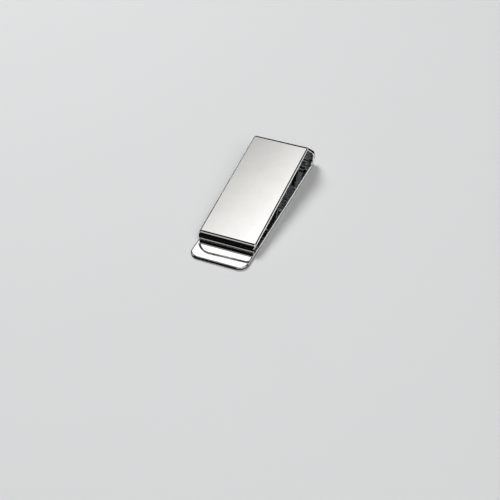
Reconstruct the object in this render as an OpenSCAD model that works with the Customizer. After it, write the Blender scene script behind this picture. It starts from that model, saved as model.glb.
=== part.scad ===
// Money clip bent from one polished strip: a flat back leg, a folded heel and a
// sloping front leg whose turned-down lip grips notes against the back leg.
// X runs across the strip, Y along it from the open end to the fold, and Z up.
// The origin is under the middle of the clip, on the surface it lies on.
// The strip's side and end edges are fully rounded.

/* [Strip] */
// Width of the strip
strip_w = 22; // [18:0.5:26]
// Thickness of the strip
strip_t = 1.2; // [1:0.05:1.3]

/* [Back leg] */
// Length of the whole clip
clip_length = 65.5; // [62:0.5:74]
// Radius of the corners at the back leg's open end
end_corner_r = 3.5; // [2:0.1:6]

/* [Fold] */
// Outer radius of the heel, where the back leg turns up
heel_r = 3.9; // [3.4:0.1:4.4]
// Tilt of the slanted wall's outward face from straight up, in degrees
wall_tilt = 45; // [40:1:52]
// Outer radius of the crown, where the wall turns into the front leg
crown_r = 1.8; // [1.5:0.1:2.2]

/* [Front leg] */
// Slope of the front leg down towards the open end, in degrees
front_slope = 8.6; // [8:0.1:9.4]
// Length of the flat face of the front leg
front_length = 48.4; // [46:0.1:50]
// Outer radius of the bend that turns the lip down
lip_bend_r = 2; // [1.6:0.1:2.6]
// How far the lip turns past straight down, in degrees
lip_tuck = 10; // [0:1:20]
// Length of the lip's straight part
lip_length = 0.1; // [0.05:0.05:0.8]
// Radius of the lip's two lower corners
lip_corner_r = 0.8; // [0.7:0.05:1.2]

/* [Flex] */
// Gap between the lip's edge and the back leg with no notes in the clip
grip_gap = 0.1; // [0.05:0.05:0.3]
// Running clearance round the bead that the front leg flexes on
bead_clearance = 0.05; // [0.03:0.01:0.08]

/* [Hidden] */
$fn = 64;

half_t = strip_t / 2;
bead_reach = half_t + 0.05;
plate_steel = [0.86, 0.87, 0.88];
fold_steel = [0.66, 0.68, 0.71];
lip_steel = [0.45, 0.47, 0.5];

// Points are [y, z] on the strip's middle plane. A tilt is the angle of the outer
// face's normal from straight up, towards the fold: 180 under the clip, 0 on top.
function outward(tilt) = [sin(tilt), cos(tilt)];
function along(tilt) = [-cos(tilt), sin(tilt)];
function to_micron(length) = round(length * 1000) / 1000;

// Heights on the middle plane build up from the lip's edge, so the grip gap always
// holds and the slanted wall takes up the rest
lip_tilt = -90 - lip_tuck;
lip_edge_z = strip_t + grip_gap + half_t;
lip_start_z = lip_edge_z + (lip_length + lip_corner_r - half_t) * cos(lip_tuck);
lip_centre_z = lip_start_z - (lip_bend_r - half_t) * cos(lip_tilt);
front_end_z = lip_centre_z + (lip_bend_r - half_t) * cos(front_slope);
front_start_z = front_end_z + front_length * sin(front_slope);
crown_centre_z = front_start_z - (crown_r - half_t) * cos(front_slope);
wall_rise = crown_centre_z - heel_r - (heel_r - crown_r) * cos(wall_tilt);
wall_length = to_micron(wall_rise / sin(wall_tilt));

back_start = [end_corner_r - clip_length / 2, half_t];
heel_centre = [clip_length / 2 - heel_r, heel_r];
wall_start = heel_centre + (heel_r - half_t) * outward(wall_tilt);
wall_end = wall_start + wall_length * along(wall_tilt);
crown_centre = wall_end - (crown_r - half_t) * outward(wall_tilt);
front_start = crown_centre + (crown_r - half_t) * outward(-front_slope);
front_end = front_start + front_length * along(-front_slope);
lip_centre = front_end - (lip_bend_r - half_t) * outward(-front_slope);
lip_start = lip_centre + (lip_bend_r - half_t) * outward(lip_tilt);

// Cross-section of the strip: flat faces with half-round edges
module section() {
    square([strip_w - strip_t, strip_t], center = true);
    for (side = [-1, 1])
        translate([side * (strip_w - strip_t) / 2, 0])
            circle(d = strip_t);
}

// Half of the section of a rounded end, from its middle out to the half-round edge
module end_section(reach) {
    translate([0, -half_t])
        square([reach - half_t, strip_t]);
    intersection() {
        translate([reach - half_t, 0])
            circle(d = strip_t);
        translate([reach - half_t, -half_t])
            square([half_t, strip_t]);
    }
}

// Places children that run along +Z, with their outer face towards +Y, at a point
// of the strip
module placed(point, tilt) {
    translate([0, point.x, point.y])
        rotate([90 - tilt, 0, 0])
            children();
}

// Flat length of strip along +Z
module flat(length) {
    linear_extrude(length)
        section();
}

// Bend that leaves the origin along +Z and turns away from +Y
module bend(outer_r, angle) {
    translate([0, half_t - outer_r, 0])
        rotate([90, 0, 90])
            rotate_extrude(angle = angle)
                translate([outer_r - half_t, 0])
                    rotate(90)
                        section();
}

// Last length of strip along +Z, as deep as the radius of its two corners
module rounded_end(corner_r) {
    rotate([0, -90, 0])
        linear_extrude(strip_w - 2 * corner_r, center = true)
            end_section(corner_r);
    for (side = [0, 1])
        mirror([side, 0, 0])
            translate([strip_w / 2 - corner_r, 0, 0])
                rotate([90, 0, 0])
                    rotate_extrude(angle = 90)
                        end_section(corner_r);
}

// Flat back leg: it lies on the table or in the pocket, and guides notes in
module back_plate() {
    color(plate_steel)
        placed(back_start, 180) {
            flat(heel_centre.x - back_start.x);
            mirror([0, 0, 1])
                rounded_end(end_corner_r);
        }
}

// Lower half of the fold, with the hollow seat for the bead
module heel_bend() {
    color(fold_steel)
        placed(wall_start, wall_tilt)
            difference() {
                union() {
                    flat(wall_length / 2);
                    mirror([0, 0, 1])
                        bend(heel_r, 180 - wall_tilt);
                }
                translate([0, 0, wall_length / 2])
                    rotate([0, 90, 0])
                        cylinder(r = half_t + bead_clearance, h = strip_w + 2, center = true);
            }
}

// Upper half of the fold, ending in the bead that turns in the heel's seat
module crown_bend() {
    wall_part = wall_length / 2 - (bead_reach - half_t);
    color(fold_steel)
        placed(wall_end, wall_tilt) {
            bend(crown_r, wall_tilt + front_slope);
            mirror([0, 0, 1]) {
                flat(wall_part);
                translate([0, 0, wall_part])
                    rounded_end(bead_reach);
            }
        }
}

// Flat face of the front leg
module front_plate() {
    color(plate_steel)
        placed(front_start, -front_slope)
            flat(front_length);
}

// Turned-down end of the front leg, whose edge grips the notes
module grip_lip() {
    color(lip_steel)
        placed(lip_start, lip_tilt) {
            flat(lip_length);
            mirror([0, 0, 1])
                bend(lip_bend_r, -front_slope - lip_tilt);
            translate([0, 0, lip_length])
                rounded_end(lip_corner_r);
        }
}

back_plate();
heel_bend();
crown_bend();
front_plate();
grip_lip();
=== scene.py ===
"""A polished money clip, folded from one strip, on a pale studio floor.

Lengths here are millimetres in the part's own frame. MM turns them into Blender's metres.
"""

from math import cos, pi, radians, sin

import bmesh
import bpy
from mathutils import Matrix, Vector


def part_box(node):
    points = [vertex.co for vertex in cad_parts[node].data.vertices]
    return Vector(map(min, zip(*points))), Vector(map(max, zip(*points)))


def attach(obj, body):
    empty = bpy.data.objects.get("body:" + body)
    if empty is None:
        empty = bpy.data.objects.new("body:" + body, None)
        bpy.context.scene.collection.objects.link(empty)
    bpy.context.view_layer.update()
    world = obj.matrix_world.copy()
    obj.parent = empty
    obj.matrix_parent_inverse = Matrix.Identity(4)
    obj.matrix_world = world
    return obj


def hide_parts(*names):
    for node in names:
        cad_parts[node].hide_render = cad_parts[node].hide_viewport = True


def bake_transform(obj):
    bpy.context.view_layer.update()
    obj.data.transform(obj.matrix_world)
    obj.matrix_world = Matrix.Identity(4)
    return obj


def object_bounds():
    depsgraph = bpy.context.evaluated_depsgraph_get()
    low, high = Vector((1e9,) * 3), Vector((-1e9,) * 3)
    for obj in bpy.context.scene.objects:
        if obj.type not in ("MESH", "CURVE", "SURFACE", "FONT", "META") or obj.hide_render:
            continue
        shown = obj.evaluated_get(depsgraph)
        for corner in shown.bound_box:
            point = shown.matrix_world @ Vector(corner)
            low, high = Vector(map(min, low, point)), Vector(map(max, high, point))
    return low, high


MM = 0.001


def bounds_as_lists():
    low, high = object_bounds()
    return [list(low), list(high)]


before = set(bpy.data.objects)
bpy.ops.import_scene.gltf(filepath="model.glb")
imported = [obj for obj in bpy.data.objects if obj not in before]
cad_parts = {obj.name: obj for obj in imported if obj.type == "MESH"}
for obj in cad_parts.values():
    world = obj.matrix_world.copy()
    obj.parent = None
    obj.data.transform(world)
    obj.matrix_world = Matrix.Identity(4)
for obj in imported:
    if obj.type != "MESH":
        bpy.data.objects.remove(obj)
cad_box = bounds_as_lists()

# ---------------------------------------------------------------- the strip's path

STRIP_W = (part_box("front_plate")[1].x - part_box("front_plate")[0].x) / MM
STRIP_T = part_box("back_plate")[1].z / MM
CLIP_LENGTH = (cad_box[1][1] - cad_box[0][1]) / MM
HALF_T = STRIP_T / 2
# These repeat the driving sizes of part.scad, which this script can't read.
END_CORNER_R = 3.5
HEEL_R = 3.9
WALL_TILT = 45.0
CROWN_R = 1.8
FRONT_SLOPE = 8.6
FRONT_LENGTH = 48.4
LIP_BEND_R = 2.0
LIP_TUCK = 10.0
LIP_LENGTH = 0.1
LIP_CORNER_R = 0.8
GRIP_GAP = 0.1
# Faces along each stretch: round the strip's edges, round a corner, and along the legs, bends and wall.
ROUND_STEPS, CORNER_STEPS = 16, 16
LEG_STEPS, HEEL_STEPS, WALL_STEPS, CROWN_STEPS, LIP_STEPS = 24, 72, 8, 40, 56


def outward(tilt):
    """The outer face's normal, where tilt is its angle in degrees from straight up towards the fold."""
    return Vector((0, sin(radians(tilt)), cos(radians(tilt))))


def along(tilt):
    """The direction the strip runs in where its outer face has this tilt."""
    return Vector((0, -cos(radians(tilt)), sin(radians(tilt))))


class Path:
    """The strip's middle line, as stations (point, tilt) from a start point."""

    def __init__(self, point, tilt):
        self.stations = [(Vector(point), tilt)]

    def flat(self, length, steps=1):
        """Run straight on for this length."""
        point, tilt = self.end
        for i in range(1, steps + 1):
            step = length * i / steps
            self.stations.append((point + step * along(tilt), tilt))
        return self

    def bend(self, outer_r, to_tilt, steps):
        """Bend inwards at this outer radius, until the outer face has the tilt asked for."""
        point, tilt = self.end
        middle_r = outer_r - HALF_T
        centre = point - middle_r * outward(tilt)
        for i in range(1, steps + 1):
            turned = tilt + (to_tilt - tilt) * i / steps
            self.stations.append((centre + middle_r * outward(turned), turned))
        return self

    @property
    def end(self):
        return self.stations[-1]


# Heights build up from the lip's edge, as in the CAD model, and the slanted wall takes up the rest.
lip_tilt = -90 - LIP_TUCK
lip_edge_z = STRIP_T + GRIP_GAP + HALF_T
lip_start_z = lip_edge_z + (LIP_LENGTH + LIP_CORNER_R - HALF_T) * cos(radians(LIP_TUCK))
lip_centre_z = lip_start_z - (LIP_BEND_R - HALF_T) * cos(radians(lip_tilt))
crown_centre_z = lip_centre_z + (LIP_BEND_R - CROWN_R) * cos(radians(FRONT_SLOPE))
crown_centre_z += FRONT_LENGTH * sin(radians(FRONT_SLOPE))
wall_rise = crown_centre_z - HEEL_R - (HEEL_R - CROWN_R) * cos(radians(WALL_TILT))
wall_length = wall_rise / sin(radians(WALL_TILT))

heel_start = (0, CLIP_LENGTH / 2 - HEEL_R, HALF_T)
back_length = CLIP_LENGTH - HEEL_R - END_CORNER_R
back_path = Path(heel_start, 0).flat(back_length, LEG_STEPS)
fold_path = Path(heel_start, 180).bend(HEEL_R, WALL_TILT, HEEL_STEPS)
fold_path.flat(wall_length, WALL_STEPS).bend(CROWN_R, -FRONT_SLOPE, CROWN_STEPS)
front_path = Path(*fold_path.end).flat(FRONT_LENGTH, LEG_STEPS)
lip_path = Path(*front_path.end).bend(LIP_BEND_R, lip_tilt, LIP_STEPS).flat(LIP_LENGTH)

# ---------------------------------------------------------------- meshes


def add_object(name, data):
    obj = bpy.data.objects.new(name, data)
    bpy.context.scene.collection.objects.link(obj)
    return obj


def edge_rows(path, end_corner_r):
    """The line round which one edge is rounded, as rows (point, tilt, half width, outward direction)."""
    half_w = STRIP_W / 2 - HALF_T
    rows = [(point, tilt, half_w, Vector((1, 0, 0))) for point, tilt in path.stations]
    if end_corner_r:
        point, tilt = path.end
        inner_r = end_corner_r - HALF_T
        for i in range(1, CORNER_STEPS + 1):
            angle = pi / 2 * i / CORNER_STEPS
            corner_point = point + inner_r * sin(angle) * along(tilt)
            corner_half_w = STRIP_W / 2 - end_corner_r + inner_r * cos(angle)
            out = Vector((cos(angle), 0, 0)) + sin(angle) * along(tilt)
            rows.append((corner_point, tilt, corner_half_w, out))
    return rows


def set_normals(data, vertex_normals, cap_normals):
    """Give each corner its vertex's exact normal, or on a flat end cap the cap's own."""
    corner_normals = []
    for poly in data.polygons:
        poly.use_smooth = True
        corner_normals += [cap_normals.get(poly.index, vertex_normals[v]) for v in poly.vertices]
    data.normals_split_custom_set(corner_normals)


def strip_piece(name, path, end_corner_r=0.0, flip=1):
    """A length of strip with half-round edges, its normals exact so that reflections run on unbroken.

    With end_corner_r, its far end has rounded corners and a half-round edge, and otherwise a flat cap. flip
    is -1 where the path's tilt is the inner face's, so that the mesh still starts from the outer face.
    """
    rows = edge_rows(path, end_corner_r)
    mesh = bmesh.new()
    normals = []

    def column(row, side):
        point, tilt, half_w, out = row
        out = Vector((side * out.x, out.y, out.z))
        up = flip * outward(tilt)
        line = []
        for j in range(ROUND_STEPS + 1):
            angle = pi / 2 - pi * j / ROUND_STEPS
            normal = cos(angle) * out + sin(angle) * up
            place = point + Vector((side * half_w, 0, 0)) + HALF_T * normal
            line.append(mesh.verts.new(place * MM))
            normals.append(normal)
        return line

    right = [column(row, 1) for row in rows]
    left = [column(row, -1) for row in rows]
    # The half-round edges, the two flats, the far end's own edge, and the flat end caps.
    for a, b in zip(right, right[1:]):
        for j in range(ROUND_STEPS):
            mesh.faces.new((a[j], b[j], b[j + 1], a[j + 1]))
    for a, b in zip(left, left[1:]):
        for j in range(ROUND_STEPS):
            mesh.faces.new((b[j], a[j], a[j + 1], b[j + 1]))
    for j in (0, ROUND_STEPS):
        for i in range(len(rows) - 1):
            quad = (left[i][j], left[i + 1][j], right[i + 1][j], right[i][j])
            mesh.faces.new(quad if j == 0 else quad[::-1])
    if end_corner_r:
        for j in range(ROUND_STEPS):
            mesh.faces.new((right[-1][j], left[-1][j], left[-1][j + 1], right[-1][j + 1]))
    flat_ends = [0] if end_corner_r else [0, -1]
    caps = [mesh.faces.new(right[end] + left[end][::-1]) for end in flat_ends]
    bmesh.ops.recalc_face_normals(mesh, faces=mesh.faces[:])
    mesh.faces.index_update()
    cap_normals = {cap.index: cap.normal.copy() for cap in caps}
    data = bpy.data.meshes.new(name)
    mesh.to_mesh(data)
    mesh.free()
    set_normals(data, normals, cap_normals)
    return add_object(name, data)


# ---------------------------------------------------------------- material


def node(tree, kind, inputs=None, **settings):
    """A shader node. An input is linked if it is another node's output, and set if it is a value."""
    new_node = tree.nodes.new("ShaderNode" + kind)
    for key, value in settings.items():
        setattr(new_node, key, value)
    for key, value in (inputs or {}).items():
        if hasattr(value, "is_output"):
            tree.links.new(value, new_node.inputs[key])
        else:
            new_node.inputs[key].default_value = value
    return new_node


def part_way(tree, value, low, high):
    """How far value is from low to high, as 0 to 1."""
    return node(tree, "MapRange", {"Value": value, "From Min": low, "From Max": high}).outputs[0]


def multiply_add(tree, value, scale, base):
    return node(tree, "Math", {0: value, 1: scale, 2: base}, operation="MULTIPLY_ADD").outputs[0]


def polished_steel():
    """Mirror-polished plated steel: faint polishing lines along the strip, handling scuffs and smudges."""
    material = bpy.data.materials.new("polished_steel")
    material.use_nodes = True
    tree = material.node_tree
    shader = tree.nodes["Principled BSDF"]
    place = node(tree, "TexCoord").outputs["Object"]

    # Polishing lines, long along the strip and fine across it.
    stretched = node(tree, "Mapping", {"Vector": place, "Scale": (9000, 260, 9000)}).outputs[0]
    lines = node(tree, "TexNoise", {"Vector": stretched, "Scale": 1.0, "Detail": 3.0}).outputs["Fac"]

    # Smudges in broad patches, and thin scuffs inside them.
    cloud = node(tree, "TexNoise", {"Vector": place, "Scale": 140.0, "Detail": 5.0, "Roughness": 0.6})
    smudge = part_way(tree, cloud.outputs["Fac"], 0.42, 0.72)
    turned = node(tree, "Mapping", {"Vector": place, "Rotation": (0, 0, 0.5), "Scale": (1500, 90, 1500)})
    cells = node(tree, "TexVoronoi", {"Vector": turned.outputs[0], "Scale": 1.0}, feature="DISTANCE_TO_EDGE")
    scratch = part_way(tree, cells.outputs["Distance"], 0.02, 0.0)
    scuff = node(tree, "Math", {0: scratch, 1: smudge}, operation="MULTIPLY").outputs[0]

    rough = multiply_add(tree, scuff, 0.025, multiply_add(tree, smudge, 0.016, 0.012))
    height = multiply_add(tree, scuff, -0.5, lines)
    clean, touched = (0.885, 0.885, 0.88, 1), (0.84, 0.842, 0.84, 1)
    tone = node(tree, "MixRGB", {"Fac": smudge, "Color1": clean, "Color2": touched})
    bump = node(tree, "Bump", {"Height": height, "Strength": 0.002, "Distance": 0.00002})
    tree.links.new(tone.outputs[0], shader.inputs["Base Color"])
    tree.links.new(rough, shader.inputs["Roughness"])
    tree.links.new(bump.outputs[0], shader.inputs["Normal"])
    shader.inputs["Metallic"].default_value = 1.0
    return material


# ---------------------------------------------------------------- pieces

back_skin = strip_piece("back_plate_skin", back_path, END_CORNER_R, flip=-1)
fold_skin = strip_piece("fold_skin", fold_path)
front_skin = strip_piece("front_plate_skin", front_path)
lip_skin = strip_piece("grip_lip_skin", lip_path, LIP_CORNER_R)
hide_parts("back_plate")
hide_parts("heel_bend", "crown_bend")
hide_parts("front_plate")
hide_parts("grip_lip")
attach(back_skin, "back_leg")
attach(front_skin, "front_leg")
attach(lip_skin, "front_leg")
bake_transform(fold_skin)

steel = polished_steel()
for skin in (back_skin, fold_skin, front_skin, lip_skin):
    skin.data.materials.append(steel)
# The hidden CAD solids get the same steel.
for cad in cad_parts.values():
    cad.data.materials.clear()
    cad.data.materials.append(steel)

# ---------------------------------------------------------------- studio cards

WHITE = (1.0, 0.995, 0.98)
COOL = (0.85, 0.93, 1.0)
WARM = (1.0, 0.99, 0.965)
CEILING_Z = 600
# The softbox gets brighter along this direction, in degrees from +X, from one distance to the other. Its
# strength there is GLOW_DIM, plus GLOW_RISE times the part of the way, plus GLOW_CURVE times its square.
GLOW_DIRECTION = -26.74
GLOW_FROM, GLOW_TO = -436.3, -339.2
GLOW_DIM, GLOW_RISE, GLOW_CURVE = 0.525, 0.516, 0.16


def mesh_object(name, points, faces):
    data = bpy.data.meshes.new(name)
    data.from_pydata([Vector(point) * MM for point in points], [], faces)
    return add_object(name, data)


def plane(name, corners):
    return mesh_object(name, corners, [(0, 1, 2, 3)])


def emitter(name, color, strength):
    material = bpy.data.materials.new(name)
    material.use_nodes = True
    tree = material.node_tree
    tree.nodes.clear()
    out = node(tree, "OutputMaterial")
    light = node(tree, "Emission", {"Color": (*color, 1), "Strength": strength})
    tree.links.new(light.outputs[0], out.inputs["Surface"])
    return material


def only_in_mirrors(obj, color, strength):
    """Make a stage object glow, and show it only in the metal."""
    obj.data.materials.append(emitter(obj.name, color, strength))
    obj.visible_camera = False
    obj.visible_diffuse = False
    obj.visible_shadow = False
    return obj


def card(name, corners, color, strength):
    return only_in_mirrors(plane(name, corners), color, strength)


def level(x0, x1, y0, y1, z):
    return [(x0, y0, z), (x1, y0, z), (x1, y1, z), (x0, y1, z)]


def standing(from_xy, to_xy, z0, z1):
    return [(*from_xy, z0), (*to_xy, z0), (*to_xy, z1), (*from_xy, z1)]


def upright(x0, x1, y, z0, z1):
    return standing((x0, y), (x1, y), z0, z1)


def add_glow(softbox):
    tree = softbox.data.materials[0].node_tree
    place = node(tree, "TexCoord").outputs["Object"]
    direction = (cos(radians(GLOW_DIRECTION)), sin(radians(GLOW_DIRECTION)), 0)
    distance = node(tree, "VectorMath", {0: place, 1: direction}, operation="DOT_PRODUCT").outputs["Value"]
    part = part_way(tree, distance, GLOW_FROM * MM, GLOW_TO * MM)
    strength = multiply_add(tree, part, multiply_add(tree, part, GLOW_CURVE, GLOW_RISE), GLOW_DIM)
    tree.links.new(strength, tree.nodes["Emission"].inputs["Strength"])


# These light the front leg, the back leg, the right edge and the lip in the photograph's view.
add_glow(card("softbox", level(-345, -200, 284, 424, CEILING_Z), WARM, 1.0))
card("rear_card", upright(-430, -95, 300, 300, 372), WHITE, 1.35)
card("right_card", standing((330, 190), (200, 330), 8, 150), WHITE, 1.2)
card("dim_strip", level(-330, -200, -340, -75, CEILING_Z), WHITE, 0.5)

# These light the other sides. In the photograph's view only the strip's thin round edges mirror them, and
# the two at the far corner are dim, which keeps the left outline dark there.
card("top_card", level(-140, 420, -420, 215, CEILING_Z), WHITE, 0.9)
card("near_card", upright(430, 560, -520, 5, 360), WHITE, 0.9)
card("low_near_card", upright(-120, 430, -520, 30, 130), WHITE, 0.9)
card("side_card", standing((560, -520), (520, 150), 5, 330), WHITE, 0.8)
card("left_card", standing((-520, -320), (-520, 60), 20, 300), WHITE, 0.7)
card("back_card", upright(-60, 330, 560, 180, 470), WHITE, 0.8)
card("far_corner_card", standing((-620, 150), (-250, 560), 10, 340), COOL, 0.05)
card("far_corner_top_card", standing((-620, 150), (-250, 560), 340, 700), WHITE, 0.2)

# A thin dark rim in front of the rear card, two rounded corners with a straight top between them. The back
# leg mirrors it as a thin curved line.
RIM_Y, RIM_R, RIM_HALF_W, RIM_GLOW = 298, 7, 1.2, 0.03
RIM_LEFT, RIM_RIGHT = (-186, 332.1), (-155.6, 331)


def corner_arc(centre, from_degrees, to_degrees, steps=8):
    angles = [radians(from_degrees + (to_degrees - from_degrees) * i / steps) for i in range(steps + 1)]
    return [Vector((centre[0] + RIM_R * cos(a), RIM_Y, centre[1] + RIM_R * sin(a))) for a in angles]


def ribbon(name, line, half_w):
    """A flat band along a line of points in an upright XZ plane."""
    sides = []
    for i, point in enumerate(line):
        run = (line[min(i + 1, len(line) - 1)] - line[max(i - 1, 0)]).normalized()
        across = Vector((-run.z, 0, run.x)) * half_w
        sides += [point + across, point - across]
    faces = [(2 * i, 2 * i + 1, 2 * i + 3, 2 * i + 2) for i in range(len(line) - 1)]
    return mesh_object(name, sides, faces)


rim_line = corner_arc(RIM_LEFT, 190, 92) + corner_arc(RIM_RIGHT, 88, 45)
only_in_mirrors(ribbon("card_rim", rim_line, RIM_HALF_W), WHITE, RIM_GLOW)

# ---------------------------------------------------------------- camera

# The photographer's view. The camera aims at AIM_Y on the clip's centre line, and is then shifted in its
# own plane, so that the clip lies in the picture as it does in the photograph.
AZIMUTH, ELEVATION, ROLL = radians(26.342), radians(42.077), radians(-3.436)
DISTANCE, SHIFT_RIGHT, SHIFT_UP, AIM_Y = 424.2, 7.616, -1.285, -22.443
back = Vector((sin(AZIMUTH) * cos(ELEVATION), -cos(AZIMUTH) * cos(ELEVATION), sin(ELEVATION)))
level_right = Vector((cos(AZIMUTH), sin(AZIMUTH), 0))
level_up = back.cross(level_right)
right = cos(ROLL) * level_right + sin(ROLL) * level_up
up = -sin(ROLL) * level_right + cos(ROLL) * level_up
eye = (SHIFT_RIGHT * right + SHIFT_UP * up + DISTANCE * back + Vector((0, AIM_Y, 0))) * MM
lens = bpy.data.cameras.new("camera")
lens.sensor_width = 36
lens.lens = 86.4
lens.clip_start = 0.01
camera = add_object("camera", lens)
camera.matrix_world = Matrix.Translation(eye) @ Matrix((right, up, back)).transposed().to_4x4()
bpy.context.scene.camera = camera

# ---------------------------------------------------------------- floor and soft light

floor = plane("floor", level(-3000, 3000, -3000, 3000, 0))
floor_material = bpy.data.materials.new("floor")
floor_material.use_nodes = True
floor_shader = floor_material.node_tree.nodes["Principled BSDF"]
floor_shader.inputs["Base Color"].default_value = (0.74, 0.745, 0.75, 1)
floor_shader.inputs["Roughness"].default_value = 0.9
floor.data.materials.append(floor_material)

# Dark pads on the floor, seen only in the metal, keep the strip's outlines dark. The floor beside the right
# edge stays bare, and a lighter pad beside the left edge is mirrored between the legs.
PAD_EDGE_X = STRIP_W / 2 + 0.3
PAD_Z = 0.02
PAD_GLOW = 0.014
card("left_pad", level(-600, PAD_EDGE_X, -33, 600, PAD_Z), COOL, PAD_GLOW)
card("near_pad", level(-600, PAD_EDGE_X, -600, -33, PAD_Z), COOL, 0.006)
card("nose_pad", level(PAD_EDGE_X, 45, -75, -18, PAD_Z), COOL, PAD_GLOW)
card("fold_pad", level(PAD_EDGE_X, 60, 34, 90, PAD_Z), COOL, PAD_GLOW)
card("between_pad", level(-17, -PAD_EDGE_X, -15, 12, 2 * PAD_Z), COOL, 0.22)


def area_light(name, place, size, power):
    data = bpy.data.lights.new(name, "AREA")
    data.size = size * MM
    data.energy = power
    obj = add_object(name, data)
    obj.location = Vector(place) * MM
    obj.rotation_euler = (-obj.location).to_track_quat("-Z", "Y").to_euler()
    obj.visible_glossy = False


area_light("key", (-500, 350, 900), 500, 9)
area_light("fill", (500, -500, 900), 900, 7)

# The room is nearly black, so the metal mirrors only the cards and the floor. The two legs mirror each
# other many times over.
MIRROR_BOUNCES = 16
world = bpy.data.worlds.new("world")
world.use_nodes = True
world.node_tree.nodes["Background"].inputs["Color"].default_value = (0.004, 0.004, 0.004, 1)
bpy.context.scene.world = world
bpy.context.scene.view_settings.view_transform = "Standard"
bpy.context.scene.cycles.glossy_bounces = MIRROR_BOUNCES
bpy.context.scene.cycles.max_bounces = MIRROR_BOUNCES
